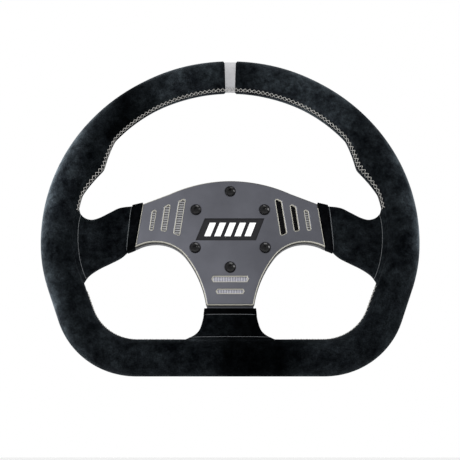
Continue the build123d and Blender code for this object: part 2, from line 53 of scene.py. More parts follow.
# The rim's centre line, as in the CAD model
TOP_CENTRE_Z = 1.7 * MM
TOP_RADIUS = 149.4 * MM
TOP_END = radians(-7.0)
SIDE_RADIUS = 126.6 * MM
LEAN = radians(22.7)
CORNER_RADIUS = 56.6 * MM
BOTTOM_Z = -111.6 * MM
BAND_HALF = 5.0 * MM
PLATE_FRONT_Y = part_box("face_plate")[0][1]
RIM_Y = (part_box("centre_band")[0][1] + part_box("centre_band")[1][1]) / 2
PAD_Y = (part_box("spoke_hem_bottom")[0][1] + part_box("spoke_hem_bottom")[1][1]) / 2

# The grip, with a swelling under each thumb
GRIP_TOP_RADIUS = 14.6 * MM
GRIP_LOW_RADIUS = 14.8 * MM
GRIP_LOW_FROM_Z = 12 * MM
GRIP_LOW_OVER = 50 * MM
GRIP_CROWN_RISE = 0.5 * MM
GRIP_CROWN_FROM_Z = 128 * MM
GRIP_CROWN_OVER = 20 * MM
GRIP_INNER_RADIUS = 12.2 * MM
SKIN = 1.4 * MM
THUMB_AT = TOP_RADIUS * radians(90.0 - 25.7)
THUMB_HALF = TOP_RADIUS * radians(11.9)
THUMB_RISE = 8.1 * MM
THUMB_TOP = 1.07
THUMB_PEAK_ROUND = 0.006
THUMB_FOOT_ROUND = 0.002
THUMB_INWARD_POWER = 1.2

# The seam on the inner side of the grip: degrees that it is turned towards the driver, more on
# the right than on the left and the other way at the bottom, and how its stitches press it in
SEAM_TURN = 10.0
SEAM_TURN_SIDE = 3.5
SEAM_TURN_LOW = -17.0
SEAM_SIDE_X = 100 * MM
SEAM_LOW_FROM_Z = -30 * MM
SEAM_LOW_OVER = 60 * MM
SEAM_GROOVE = 0.7 * MM
SEAM_GROOVE_WIDTH = radians(3.5)
PUCKER_DEPTH = 0.3 * MM
PUCKER_WIDTH = radians(4)

# Stitching on the inner side of the grip
STITCH_PITCH = 4.7 * MM
STITCH_HALF_ANGLE = radians(9.0)
THREAD_RADIUS = 0.26 * MM
THREAD_LIFT = 0.55 * MM
THREAD_SINK = 0.45 * MM
THREAD_STEPS = 7
STITCHES_DOWN_TO_Z = 17 * MM
STITCHES_UP_TO_Z = -58 * MM
STITCHES_BOTTOM_X = 46 * MM

# The camera stands at the photograph's viewing angle
CAMERA_ELEVATION = radians(-18.7)
CAMERA_DISTANCE = 0.530
CAMERA_LENS = 47.4
CAMERA_SHIFT = (-0.0004, -0.0033)

FLOOR_Z = -0.40
FLOOR_REACH = 6.0

# Name, place, size in metres and power in watts
LIGHTS = [
    ("left", (-1.0, -0.10, 0.0), 0.5, 16.0),
    ("right", (1.0, -0.35, 0.35), 0.5, 8.0),
    ("top", (0.2, -0.4, 1.2), 0.6, 6.0),
    ("front", (-0.22, -0.75, 0.10), 0.10, 0.7),
]
LIGHTS_AIM = Vector((0, -0.05, 0))

# Painted light and shade on the suede: a base level that scales its colour and sheen, and spots
# where it is painted lighter, as if lit at the sides and top, or darker, as painted shade at the
# bottom and upper left: x, z and radius in millimetres, and the change
SUEDE_PAINTED_LIGHT_BASE = 0.62
SUEDE_PAINTED_SHADE_FLOOR = 0.12
SHEEN_TINT = (0.66, 0.76, 0.84)
SUEDE_PAINTED_LIGHT_SPOTS = [
    (-187.0, 25.0, 54.0, 7.0),
    (-172.0, -100.0, 52.0, 6.0),
    (187.0, -5.0, 48.0, 5.0),
    (175.0, 90.0, 60.0, 2.0),
    (75.0, 160.0, 85.0, 1.2),
    (-165.0, 90.0, 48.0, 5.0),
    (-130.0, 150.0, 42.0, 3.0),
    (-50.0, 170.0, 70.0, 0.8),
    (20.0, -110.0, 65.0, -0.6),
    (-92.0, 110.0, 45.0, -0.5),
]

# Bright machined edges: the plate's chamfer is rubbed bright below a depth. Painted shade and
# reflection: the top edge right of the middle, which is an arc, is painted dark, and the slot
# walls are painted lighter or darker by the way they face
EDGE_BRIGHT = (0.42, 0.41, 0.365)
EDGE_RUB_Y = PLATE_FRONT_Y + 0.35 * MM
SCREWS_RADIUS = 41.5 * MM
TOP_EDGE_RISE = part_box("face_plate")[1][2]
TOP_EDGE_CORNER = (77.6 * MM, 23.1 * MM)
TOP_EDGE_SHADE_BAND = 3.2 * MM
TOP_EDGE_SHADE_FADE = (-35 * MM, -5 * MM)

# The two levels of a slot inlay
INLAY_RIB_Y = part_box("slot_inlay_inner_left")[0][1]
INLAY_FLOOR_Y = INLAY_RIB_Y + 0.5 * MM


# ---- Small helpers ----


def smooth_step(value):
    """0 below 0, 1 above 1 and a smooth rise between."""
    value = min(max(value, 0.0), 1.0)
    return value * value * (3 - 2 * value)


def add_mesh(name, vertices, faces, material, smooth=True):
    """A new mesh piece in the scene."""
    mesh = bpy.data.meshes.new(name)
    mesh.from_pydata(vertices, [], faces)
    shape = bmesh.new()
    shape.from_mesh(mesh)
    bmesh.ops.recalc_face_normals(shape, faces=shape.faces)
    shape.to_mesh(mesh)
    shape.free()
    mesh.polygons.foreach_set("use_smooth", [smooth] * len(mesh.polygons))
    mesh.materials.append(material)
    piece = bpy.data.objects.new(name, mesh)
    bpy.context.scene.collection.objects.link(piece)
    return piece


def ring_faces(ring_count, ring_size, closed):
    """Quads between successive rings of vertices, and from the last to the first if closed."""
    faces = []
    for ring in range(ring_count if closed else ring_count - 1):
        here = ring * ring_size
        after = (ring + 1) % ring_count * ring_size
        for step in range(ring_size):
            turn = (step + 1) % ring_size
            faces.append((here + step, here + turn, after + turn, after + step))
    return faces


def tube(points, radius, sides=6):
    """Vertices and faces of a round thread along points, closed at both ends."""
    vertices, faces = [], []
    last = len(points) - 1
    side_way = None
    for number, point in enumerate(points):
        along = (points[min(number + 1, last)] - points[max(number - 1, 0)]).normalized()
        if side_way is None:
            side_way = along.orthogonal().normalized()
        side_way = (side_way - along * side_way.dot(along)).normalized()
        up = along.cross(side_way)
        for side in range(sides):
            angle = 2 * pi * side / sides
            vertices.append(point + radius * (cos(angle) * side_way + sin(angle) * up))
    faces = ring_faces(len(points), sides, False)
    faces.append(tuple(reversed(range(sides))))
    faces.append(tuple(range(last * sides, (last + 1) * sides)))
    return vertices, faces


def join_parts(parts):
    """One list of vertices and faces from several."""
    vertices, faces = [], []
    for part_vertices, part_faces in parts:
        base = len(vertices)
        vertices.extend(part_vertices)
        faces.extend(tuple(base + corner for corner in face) for face in part_faces)
    return vertices, faces


# ---- The rim's centre line ----


def rim_stretches():
    """The right half of the centre line from top to bottom: (length, point and outward normal)."""
    side_x = (TOP_RADIUS - SIDE_RADIUS) * cos(TOP_END)
    side_z = TOP_CENTRE_Z + (TOP_RADIUS - SIDE_RADIUS) * sin(TOP_END)
    lean_start = (side_x + SIDE_RADIUS * cos(LEAN), side_z - SIDE_RADIUS * sin(LEAN))
    corner_z = BOTTOM_Z + CORNER_RADIUS
    drop = lean_start[1] - (corner_z - CORNER_RADIUS * sin(LEAN))
    lean_length = drop / cos(LEAN)
    corner_x = lean_start[0] - lean_length * sin(LEAN) - CORNER_RADIUS * cos(LEAN)

    def arc(x, z, radius, start):
        def at(distance):
            angle = start - distance / radius
            return (x + radius * cos(angle), z + radius * sin(angle)), (cos(angle), sin(angle))
        return at

    def lean(distance):
        point = (lean_start[0] - distance * sin(LEAN), lean_start[1] - distance * cos(LEAN))
        return point, (cos(LEAN), -sin(LEAN))

    def bottom(distance):
        return (corner_x - distance, BOTTOM_Z), (0.0, -1.0)

    return [
        (TOP_RADIUS * (pi / 2 - TOP_END), arc(0.0, TOP_CENTRE_Z, TOP_RADIUS, pi / 2)),
        (SIDE_RADIUS * (TOP_END + LEAN), arc(side_x, side_z, SIDE_RADIUS, TOP_END)),
        (lean_length, lean),
        (CORNER_RADIUS * (pi / 2 - LEAN), arc(corner_x, corner_z, CORNER_RADIUS, -LEAN)),
        (corner_x, bottom),
    ]


STRETCHES = rim_stretches()
HALF_LENGTH = sum(length for length, _ in STRETCHES)


def rim_at(distance):
    """Centre point and outward normal at a distance from the top, clockwise for the driver."""
    distance = distance % (2 * HALF_LENGTH)
    flip = 1
    if distance > HALF_LENGTH:
        distance = 2 * HALF_LENGTH - distance
        flip = -1
    for length, at in STRETCHES[:-1]:
        if distance <= length:
            break
        distance -= length
    else:
        length, at = STRETCHES[-1]
    point, normal = at(distance)
    return Vector((flip * point[0], RIM_Y, point[1])), Vector((flip * normal[0], 0, normal[1]))


def half_distance(distance):
    """The distance from the top, the same on the left as on the right."""
    distance = distance % (2 * HALF_LENGTH)
    return min(distance, 2 * HALF_LENGTH - distance)


def seam_angle(centre):
    """The seam's place round the grip: turned a little to the driver, except at the bottom."""
    side = min(max(centre.x / SEAM_SIDE_X, -1.0), 1.0)
    low = smooth_step((SEAM_LOW_FROM_Z - centre.z) / SEAM_LOW_OVER)
    return pi - radians(SEAM_TURN + SEAM_TURN_SIDE * side + SEAM_TURN_LOW * low)


def thumb_swell(distance):
    """The thumb rest's rise: nearly straight flanks up to a rounded peak."""
    reach = abs(half_distance(distance) - THUMB_AT) / THUMB_HALF
    flank = THUMB_TOP - sqrt(reach * reach + THUMB_PEAK_ROUND)
    return THUMB_RISE * 0.5 * (flank + sqrt(flank * flank + THUMB_FOOT_ROUND))


def grip_radius(distance, angle):
    """The grip's radius: angle 0 points outwards, a quarter turn towards the driver."""
    centre = rim_at(distance)[0]
    z = centre.z
    low = smooth_step((GRIP_LOW_FROM_Z - z) / GRIP_LOW_OVER)
    radius = GRIP_TOP_RADIUS + (GRIP_LOW_RADIUS - GRIP_TOP_RADIUS) * low
    radius += GRIP_CROWN_RISE * smooth_step((z - GRIP_CROWN_FROM_Z) / GRIP_CROWN_OVER)
    inward = max(0.0, -cos(angle))
    radius += thumb_swell(distance) * inward ** THUMB_INWARD_POWER
    from_seam = abs(angle - seam_angle(centre))
    radius -= SEAM_GROOVE * exp(-(from_seam / SEAM_GROOVE_WIDTH) ** 2)
    pucker = 0.5 + 0.5 * cos(2 * pi * distance / STITCH_PITCH)
    from_holes = (from_seam - STITCH_HALF_ANGLE) / PUCKER_WIDTH
    radius -= PUCKER_DEPTH * pucker * exp(-from_holes ** 2)
    return radius


def grip_point(distance, angle, lift=0.0):
    """A point on the grip's surface, or lifted off it."""
    centre, outward = rim_at(distance)
    radius = grip_radius(distance, angle) + lift
    return centre + radius * (cos(angle) * outward + sin(angle) * Vector((0, -1, 0)))


# ---- Materials ----


class Nodes:
    """A short way to write a node tree. A value is a (node, output) pair or a constant."""

    def __init__(self, name):
        self.material = bpy.data.materials.new(name)
        self.material.use_nodes = True
        self.tree = self.material.node_tree
        self.shader = self.tree.nodes["Principled BSDF"]
        self.place = (self.add("ShaderNodeTexCoord"), "Object")

    def add(self, kind, **settings):
        """A new node; each setting is one of its inputs or of its own properties."""
        node = self.tree.nodes.new(kind)
        for key, value in settings.items():
            if key in node.inputs:
                node.inputs[key].default_value = value
            else:
                setattr(node, key, value)
        return node

    def wire(self, value, socket):
        """Feed an input from a value."""
        if isinstance(value, tuple) and isinstance(value[0], bpy.types.Node):
            self.tree.links.new(value[0].outputs[value[1]], socket)
        elif socket.type == "RGBA":
            socket.default_value = (*value, 1.0)
        else:
            socket.default_value = value

    def shade(self, **values):
        """Feed the shader's inputs, with _ for a space in their names."""
        for key, value in values.items():
            self.wire(value, self.shader.inputs[key.replace("_", " ")])

    def noise(self, scale, detail=3.0, roughness=0.5, stretch=(1, 1, 1)):
        """Noise from 0 to 1, fixed to the piece."""
        mapping = self.add("ShaderNodeMapping")
        mapping.inputs["Scale"].default_value = stretch
        self.wire(self.place, mapping.inputs["Vector"])
        node = self.add("ShaderNodeTexNoise", Scale=scale, Detail=detail, Roughness=roughness)
        self.wire((mapping, "Vector"), node.inputs["Vector"])
        return node, "Fac"

    def ramp(self, value, stops):
        """A colour that runs through stops of (position, colour)."""
        node = self.add("ShaderNodeValToRGB")
        elements = node.color_ramp.elements
        while len(elements) < len(stops):
            elements.new(0.5)
        for element, (position, colour) in zip(elements, stops):
            element.position = position
            element.color = (*colour, 1.0)
        self.wire(value, node.inputs["Fac"])
        return node, "Color"

    def rescale(self, value, source=(0.0, 1.0), target=(0.0, 1.0), **settings):
        """A value mapped from one range on to another."""
        node = self.add("ShaderNodeMapRange", **settings)
        for name, limit in zip(("From Min", "From Max", "To Min", "To Max"), (*source, *target)):
            node.inputs[name].default_value = limit
        self.wire(value, node.inputs["Value"])
        return node, "Result"

    def bump(self, value, distance, strength=1.0, before=None):
        """A normal roughened by a value, on top of an earlier normal if there is one."""
        node = self.add("ShaderNodeBump", Strength=strength, Distance=distance)
        self.wire(value, node.inputs["Height"])
        if before is not None:
            self.wire(before, node.inputs["Normal"])
        return node, "Normal"

    def split(self, value):
        """A node whose outputs X, Y and Z are the parts of a vector."""
        node = self.add("ShaderNodeSeparateXYZ")
        self.wire(value, node.inputs["Vector"])
        return node

    def distance(self, scale, offset):
        """The length of the place on the piece, once scaled and shifted."""
        moved = self.add("ShaderNodeVectorMath", operation="MULTIPLY_ADD")
        for socket, value in zip(moved.inputs, (self.place, scale, offset)):
            self.wire(value, socket)
        length = self.add("ShaderNodeVectorMath", operation="LENGTH")
        self.wire((moved, 0), length.inputs[0])
        return length, "Value"

    def math(self, operation, *operands):
        """The result of a maths node."""
        node = self.add("ShaderNodeMath", operation=operation)
        for socket, operand in zip(node.inputs, operands):
            self.wire(operand, socket)
        return node, 0

    def mix(self, factor, first, second, **settings):
        """A mix of two colours."""
        node = self.add("ShaderNodeMix", data_type="RGBA", **settings)
        for socket, value in zip((node.inputs["Factor"], node.inputs[6], node.inputs[7]),
                                 (factor, first, second)):
            self.wire(value, socket)
        return node, 2

    def multiply(self, *colours):
        """The product of colours."""
        product = colours[0]
        for colour in colours[1:]:
            product = self.mix(1.0, product, colour, blend_type="MULTIPLY")
        return product


def grey(level):
    """A colour with no tint."""
    return (level, level, level)


def tinted(colour, factor):
    """A colour made darker or lighter."""
    return tuple(part * factor for part in colour)


def near(nodes, x, z, radius):
    """1 at a place in the wheel's plane, down to 0 a radius to the side, or two radii up or down."""
    away = nodes.distance((1.0, 0.0, 0.5), (-x * MM, 0.0, -0.5 * z * MM))
    return nodes.rescale(away, (radius * MM, 0.0), interpolation_type="SMOOTHERSTEP")


def painted_light_level(nodes):
    """Painted light and shade on the suede: lit at the sides and top, shaded low and upper left."""
    level = SUEDE_PAINTED_LIGHT_BASE
    for x, z, radius, gain in SUEDE_PAINTED_LIGHT_SPOTS:
        level = nodes.math("ADD", level, nodes.math("MULTIPLY", near(nodes, x, z, radius), gain))
    return nodes.math("MAXIMUM", level, SUEDE_PAINTED_SHADE_FLOOR)


def suede_material(name, dark, light, sheen):
    """Napped suede: patches brushed different ways, fine fibres, a soft sheen, and painted light and
    shade by place.
    """
    nodes = Nodes(name)
    patches = nodes.noise(60.0, 8.0, 0.72)
    smudges = nodes.noise(260.0, 5.0, 0.7)
    fibres = nodes.noise(1100.0, 4.0, 0.75)
    # level is painted light and shade by place; it scales both the colour and the sheen
    level = painted_light_level(nodes)
    middle = tuple(0.65 * a + 0.35 * b for a, b in zip(dark, light))
    patch_tone = nodes.ramp(patches, [(0.36, dark), (0.54, middle), (0.74, light)])
    smudge_tone = nodes.ramp(smudges, [(0.32, grey(0.5)), (0.68, grey(1.6))])
    fibre_tone = nodes.ramp(fibres, [(0.3, grey(0.4)), (0.7, grey(1.6))])
    nap = nodes.rescale(patches, (0.35, 0.68), (0.55 * sheen, 1.45 * sheen))
    coarse = nodes.bump(smudges, 0.0005, 0.6)
    nodes.shade(
        Base_Color=nodes.multiply(patch_tone, smudge_tone, fibre_tone, level),
        Roughness=0.95, Specular_IOR_Level=0.0,
        Sheen_Weight=nodes.math("MULTIPLY", nap, level),
        Sheen_Roughness=0.35, Sheen_Tint=SHEEN_TINT,
        Normal=nodes.bump(fibres, 0.0003, 1.0, coarse),
    )
    return nodes.material


def thread_material(name, colour):
    """Waxed sewing thread with its twist."""
    nodes = Nodes(name)
    twist = nodes.noise(2600.0, 2.0, 0.5)
    nodes.shade(
        Base_Color=nodes.ramp(twist, [(0.3, tinted(colour, 0.6)), (0.7, colour)]),
        Roughness=0.55, Sheen_Weight=0.2, Normal=nodes.bump(twist, 0.0001),
    )
    return nodes.material


def band_material():
    """Smooth grey leather with a light grain."""
    nodes = Nodes("band_grey_leather")
    grain = nodes.add("ShaderNodeTexVoronoi", Scale=1300.0)
    nodes.wire(nodes.place, grain.inputs["Vector"])
    clouds = nodes.noise(120.0, 3.0)
    nodes.shade(
        Base_Color=nodes.ramp(clouds, [(0.3, (0.28, 0.28, 0.288)), (0.7, (0.32, 0.32, 0.33))]),
        Roughness=0.55, Normal=nodes.bump((grain, "Distance"), 0.00012, 0.5),
    )
    return nodes.material


def beyond(nodes, centre_z, radius):
    """1 where a point lies further than a radius from an axis through (0, centre_z)."""
    away = nodes.distance((1.0, 0.0, 1.0), (0.0, 0.0, -centre_z))
    return nodes.math("GREATER_THAN", away, radius)


def bright_edges_and_painted_shade(nodes):
    """Where the plate is machined bright (0 or 1), and how painted shade and reflection light each
    edge.
    """
    normal = nodes.split((nodes.add("ShaderNodeNewGeometry"), "True Normal"))
    place = nodes.split(nodes.place)
    facing = nodes.math("ABSOLUTE", (normal, "Y"))
    edge = nodes.math("LESS_THAN", facing, 0.95)
    rubbed = nodes.math("GREATER_THAN", (place, "Y"), EDGE_RUB_Y)
    outside = beyond(nodes, 0.0, SCREWS_RADIUS)
    bright = nodes.math("MULTIPLY", nodes.math("MULTIPLY", edge, rubbed), outside)

    # Painted reflection and shade on the slot walls: lighter facing left than right, and the
    # downward walls at the upper slots' tops painted bright as if reflecting the floor
    wall = nodes.math("LESS_THAN", facing, 0.3)
    turned = nodes.math("MULTIPLY_ADD", (normal, "X"), -0.18, 0.22)
    below = nodes.math("LESS_THAN", (normal, "Z"), -0.6)
    painted_slot_end_glint = nodes.math("MULTIPLY", below, nodes.math("GREATER_THAN", (place, "Z"), 0.0))
    painted_wall_light = nodes.math("MAXIMUM", turned, painted_slot_end_glint)
    painted_wall_dark = nodes.math("MULTIPLY", wall, nodes.math("SUBTRACT", 1.0, painted_wall_light))

    # Painted shade along the top edge, an arc, fading in to the right of the middle
    corner_x, corner_z = TOP_EDGE_CORNER
    rise = TOP_EDGE_RISE - corner_z
    radius = (corner_x ** 2 + rise ** 2) / (2 * rise)
    top = beyond(nodes, TOP_EDGE_RISE - radius, radius - TOP_EDGE_SHADE_BAND)
    right = nodes.rescale((place, "X"), TOP_EDGE_SHADE_FADE, (0.0, 0.92))
    dark = nodes.math("MAXIMUM", painted_wall_dark, nodes.math("MULTIPLY", top, right))
    return bright, nodes.math("SUBTRACT", 1.0, dark)


def blasted_finish(nodes, colour):
    """The tone of fine-blasted anodised aluminium, with faint clouds, and its normal."""
    clouds = nodes.noise(24.0, 4.0, 0.6)
    tone = nodes.ramp(clouds, [(0.35, tinted(colour, 0.88)), (0.68, tinted(colour, 1.1))])
    return tone, nodes.bump(nodes.noise(5200.0, 2.0, 0.5), 0.00003, 0.5)


def anodised_material(name, colour, roughness):
    """Anodised aluminium with fine lines in its gloss."""
    nodes = Nodes(name)
    tone, normal = blasted_finish(nodes, colour)
    lines = nodes.noise(500.0, 3.0, 0.6, stretch=(0.06, 1.0, 1.0))
    rough = nodes.rescale(lines, target=(roughness - 0.06, roughness + 0.08))
    nodes.shade(Base_Color=tone, Metallic=1.0, Roughness=rough, Normal=normal)
    return nodes.material


def plate_material():
    """The face plate: grey anodised, its edges machined bright, with painted shade and reflection on
    them.
    """
    nodes = Nodes("plate_grey_anodised")
    tone, normal = blasted_finish(nodes, (0.088, 0.090, 0.104))
    bright, shade = bright_edges_and_painted_shade(nodes)
    # The bright edge colour darkened by the painted shade and reflection
    edge = nodes.mix(shade, grey(0.0), EDGE_BRIGHT)
    nodes.shade(
        Base_Color=nodes.mix(bright, tone, edge),
        Metallic=nodes.math("SUBTRACT", 1.0, nodes.math("MULTIPLY", bright, 0.3)),
        Roughness=nodes.math("ADD", nodes.math("MULTIPLY", bright, 0.35), 0.42),
        Normal=normal,
    )
    return nodes.material


def inlay_material(name, floor, rib):
    """Ribbed inlay: the ribs lighter than the floor between them."""
    nodes = Nodes(name)
    height = nodes.rescale((nodes.split(nodes.place), "Y"), (INLAY_FLOOR_Y, INLAY_RIB_Y))
    worn = nodes.ramp(nodes.noise(700.0, 3.0), [(0.3, grey(0.7)), (0.7, grey(1.1))])
    tone = nodes.multiply(nodes.mix(height, floor, rib), worn)
    nodes.shade(Base_Color=tone, Metallic=0.6, Roughness=0.42)
    return nodes.material


def steel_material(name, colour, roughness, stretch=(1, 1, 1)):
    """Turned or ground steel with fine marks and faint stains."""
    nodes = Nodes(name)
    marks = nodes.noise(900.0, 4.0, 0.6, stretch=stretch)
    stains = nodes.noise(70.0, 3.0, 0.6)
    nodes.shade(
        Base_Color=nodes.ramp(stains, [(0.3, tinted(colour, 0.75)), (0.7, colour)]),
        Metallic=1.0,
        Roughness=nodes.rescale(marks, target=(max(roughness - 0.1, 0.03), roughness + 0.1)),
        Normal=nodes.bump(marks, 0.00004, 0.5),
    )
    return nodes.material


def plastic_material(name, colour, roughness, grain, specular=0.5):
    """Moulded plastic or paint with a fine spark-eroded grain."""
    nodes = Nodes(name)
    texture = nodes.noise(grain, 3.0, 0.6)
    nodes.shade(
        Base_Color=nodes.ramp(texture, [(0.3, tinted(colour, 0.8)), (0.7, colour)]),
        Roughness=roughness, Specular_IOR_Level=specular,
        Normal=nodes.bump(texture, 0.00005, 0.6),
    )
    return nodes.material


def paint_node(node, material):
    """Give a CAD node one material on every slot."""
    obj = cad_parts[node]
    if not obj.material_slots:
        obj.data.materials.append(material)
    for material_slot in obj.material_slots:
        material_slot.material = material


# ---- The grip ----


GRIP_STEP = 1.175 * MM
GRIP_SIDES = 96
CLOSER_AT_SEAM = 0.45


def section_angles(seam):
    """Angles round the grip, closer together beside the seam."""
    angles = []
    for step in range(GRIP_SIDES):
        turn = 2 * pi * step / GRIP_SIDES - pi
        angles.append(seam + turn - CLOSER_AT_SEAM * sin(turn))
    return angles


def make_grip(material):
    """The suede skin: outer surface, rolled ends beside the band and an inner surface."""
    first, last = BAND_HALF, 2 * HALF_LENGTH - BAND_HALF
    count = int((last - first) / GRIP_STEP)
    rings = []
    for number in range(count + 1):
        distance = first + (last - first) * number / count
        from_end = min(distance - first, last - distance)
        edge = min(max(1 - from_end / SKIN, 0.0), 1.0)
        drop = SKIN * (1 - sqrt(1 - edge * edge))
        angles = section_angles(seam_angle(rim_at(distance)[0]))
        rings.append([grip_point(distance, angle, -drop) for angle in angles])
    inner_count = count // 6
    for number in range(inner_count + 1):
        distance = last + (first - last) * number / inner_count
        centre, outward = rim_at(distance)
        rings.append([
            centre + GRIP_INNER_RADIUS * (cos(angle) * outward + sin(angle) * Vector((0, -1, 0)))
            for angle in section_angles(seam_angle(centre))
        ])
    vertices = [vertex for ring in rings for vertex in ring]
    grip = add_mesh("grip_suede", vertices, ring_faces(len(rings), GRIP_SIDES, True), material)
    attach(grip, "wheel")
    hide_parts("rim_cover_upper_left", "rim_cover_upper_right",
                "rim_cover_lower_left", "rim_cover_lower_right")
    return grip


def stitch_runs():
    """The stretches of the inner seam between the spokes, as distances from the top."""
    def distance_at(z):
        """Where the right-hand centre line passes a height."""
        low, high = 0.0, HALF_LENGTH
        for _ in range(40):
            middle = (low + high) / 2
            if rim_at(middle)[0].z > z:
                low = middle
            else:
                high = middle
        return low
    above = distance_at(STITCHES_DOWN_TO_Z)
    below = distance_at(STITCHES_UP_TO_Z)
    bottom = HALF_LENGTH - STITCHES_BOTTOM_X
    whole = 2 * HALF_LENGTH
    return [(-above, above), (below, bottom), (whole - bottom, whole - below)]


def seam_point(distance, across):
    """A thread's path over the seam: it dips into its holes at both ends of a stitch."""
    reach = abs(across)
    lift = THREAD_LIFT * (1 - reach ** 6) - THREAD_SINK * reach ** 6
    angle = seam_angle(rim_at(distance)[0]) + across * STITCH_HALF_ANGLE
    return grip_point(distance, angle, lift)


def make_stitching(material):
    """Cross stitches that draw the two edges of the skin together, in one piece a run."""
    for number, (start, end) in enumerate(stitch_runs(), start=1):
        count = int((end - start) / STITCH_PITCH)
        parts = []
        for stitch in range(count):
            for way in (-1, 1):
                points = []
                for step in range(THREAD_STEPS):
                    share = step / (THREAD_STEPS - 1)
                    distance = start + (stitch + share) * STITCH_PITCH
                    points.append(seam_point(distance, way * (1 - 2 * share)))
                parts.append(tube(points, THREAD_RADIUS))
        vertices, faces = join_parts(parts)
        piece = add_mesh(f"grip_stitching_{number}", vertices, faces, material)
        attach(piece, "wheel")


# ---- The spoke covers ----


def curve_through(points, share):
    """A point on a smooth curve through points, at a share of the way along."""
    spans = len(points) - 1
    place = min(max(share, 0.0), 1.0) * spans
    span = min(int(place), spans - 1)
    t = place - span
    before = points[max(span - 1, 0)]
    here, after = points[span], points[span + 1]
    beyond = points[min(span + 2, spans)]
    return tuple(
        0.5 * (2 * b + (c - a) * t + (2 * a - 5 * b + 4 * c - d) * t * t
               + (3 * b - a - 3 * c + d) * t ** 3)
        for a, b, c, d in zip(before, here, after, beyond)
    )


SIDE_TOP = [(86.8, 22.3), (98.3, 20.6), (106.9, 16.2), (115.6, 11.5), (122.5, 9.6),
            (128.9, 11.3), (133.7, 16.0), (136.8, 24.0), (142.0, 34.0)]
SIDE_LOW = [(89.4, -20.0), (95.5, -25.5), (104.0, -30.2), (112.0, -34.3), (117.8, -38.0),
            (122.3, -41.8), (125.6, -46.8), (128.8, -53.5), (132.0, -61.0)]
BOTTOM_SIDE = [(22.4, -75.4), (23.2, -80.2), (25.6, -87.6), (29.9, -92.2), (38.5, -96.6),
               (52.0, -103.9)]
SIDE_RIM = (203.0 * MM, 300.0 * MM)
BOTTOM_RIM = (HALF_LENGTH - 52.0 * MM, HALF_LENGTH + 52.0 * MM)
COVER_LONG = 56
COVER_WIDE = 40
COVER_HALF = 6.4 * MM
COVER_EDGE_POWER = 3.4
HEM_THICKNESS = 0.84
HEM_ROUND = 0.09
HEM_THREAD_SKIPS = 4
FLARE_INSIDE = 18.0 * MM
FLARE_SLOPE = 1.35
FLARE_ROUND = 1.5 * MM
UNDER_GRIP = 0.7 * MM
INTO_RIM = 6 * MM
SEAM_INSIDE = 17.0 * MM
SEAM_DEPTH = 0.4 * MM
SEAM_WIDTH = 0.8 * MM
SEAM_THREAD = 0.22 * MM
RIM_SAMPLES = 400


def rim_table():
    """Wheel-plane points along the rim's centre line."""
    centres = [rim_at(2 * HALF_LENGTH * step / RIM_SAMPLES)[0] for step in range(RIM_SAMPLES)]
    return [(centre.x, centre.z) for centre in centres]


RIM_POINTS = rim_table()


def inside_rim(x, z):
    """How far a wheel-plane point lies from the rim's centre line."""
    return sqrt(min((px - x) ** 2 + (pz - z) ** 2 for px, pz in RIM_POINTS))


def pad_profile(across, power):
    """The cover's half thickness across its width, from edge to edge, as a share."""
    return (1 - abs(2 * across - 1) ** power) ** (1 / power)


def flare(inside, thick):
    """How far the cover's front climbs towards the grip, staying under the grip's surface."""
    climb = FLARE_INSIDE - inside
    rise = FLARE_SLOPE * (climb + sqrt(climb * climb + FLARE_ROUND ** 2)) / 2
    if inside < GRIP_TOP_RADIUS - UNDER_GRIP:
        grip_front = PAD_Y - RIM_Y + sqrt(GRIP_TOP_RADIUS ** 2 - inside ** 2)
        rise = min(rise, max(grip_front - UNDER_GRIP - thick, 0.0))
    return rise


def cover_point(edge_a, edge_b, rim_span, share, across, side):
    """A point on a cover: share runs out to the rim, across from edge to edge."""
    place = edge_a(share).lerp(edge_b(share), across)
    centre, outward = rim_at(rim_span[0] + (rim_span[1] - rim_span[0]) * across)
    target = Vector((centre.x, centre.z)) - INTO_RIM * Vector((outward.x, outward.z))
    chord = edge_a(1.0).lerp(edge_b(1.0), across)
    place = place + (target - chord) * smooth_step(share) * pad_profile(across, 2.0)
    inside = inside_rim(place.x, place.y)
    thick = COVER_HALF * (HEM_THICKNESS + (1 - HEM_THICKNESS) * smooth_step(share / HEM_ROUND))
    if side == -1:
        thick += flare(inside, thick)
    thick -= SEAM_DEPTH * exp(-((inside - SEAM_INSIDE) / SEAM_WIDTH) ** 2)
    depth = side * thick * pad_profile(across, COVER_EDGE_POWER)
    return Vector((place.x, PAD_Y + depth, place.y)), inside


def cover_rings(edge_a, edge_b, rim_span):
    """Rings of a padded cover between two edge curves, and how far inside the rim each lies."""
    rings, depths = [], []
    for long_step in range(COVER_LONG + 1):
        ring, depth = [], []
        for step in range(2 * COVER_WIDE):
            across = (1 - cos(pi * step / COVER_WIDE)) / 2
            side = -1 if step < COVER_WIDE else 1
            share = long_step / COVER_LONG
            point, inside = cover_point(edge_a, edge_b, rim_span, share, across, side)
            ring.append(point)
            depth.append(inside)
        rings.append(ring)
        depths.append(depth)
    return rings, depths


def cover_mesh(name, rings, material):
    """A closed cover from its rings, with a cap at each end."""
    size = len(rings[0])
    vertices = [vertex for ring in rings for vertex in ring]
    faces = ring_faces(len(rings), size, False)
    faces.append(tuple(reversed(range(size))))
    faces.append(tuple(range((len(rings) - 1) * size, len(rings) * size)))
    return add_mesh(name, vertices, faces, material)


def seam_path(rings, depths):
    """The seam thread's path, a fixed distance inside the rim's centre line."""
    path = []
    for index in range(len(rings[0])):
        for number in range(1, len(rings)):
            before, after = depths[number - 1][index], depths[number][index]
            if before > SEAM_INSIDE >= after:
                share = (before - SEAM_INSIDE) / (before - after)
                path.append(rings[number - 1][index].lerp(rings[number][index], share))
                break
    return path


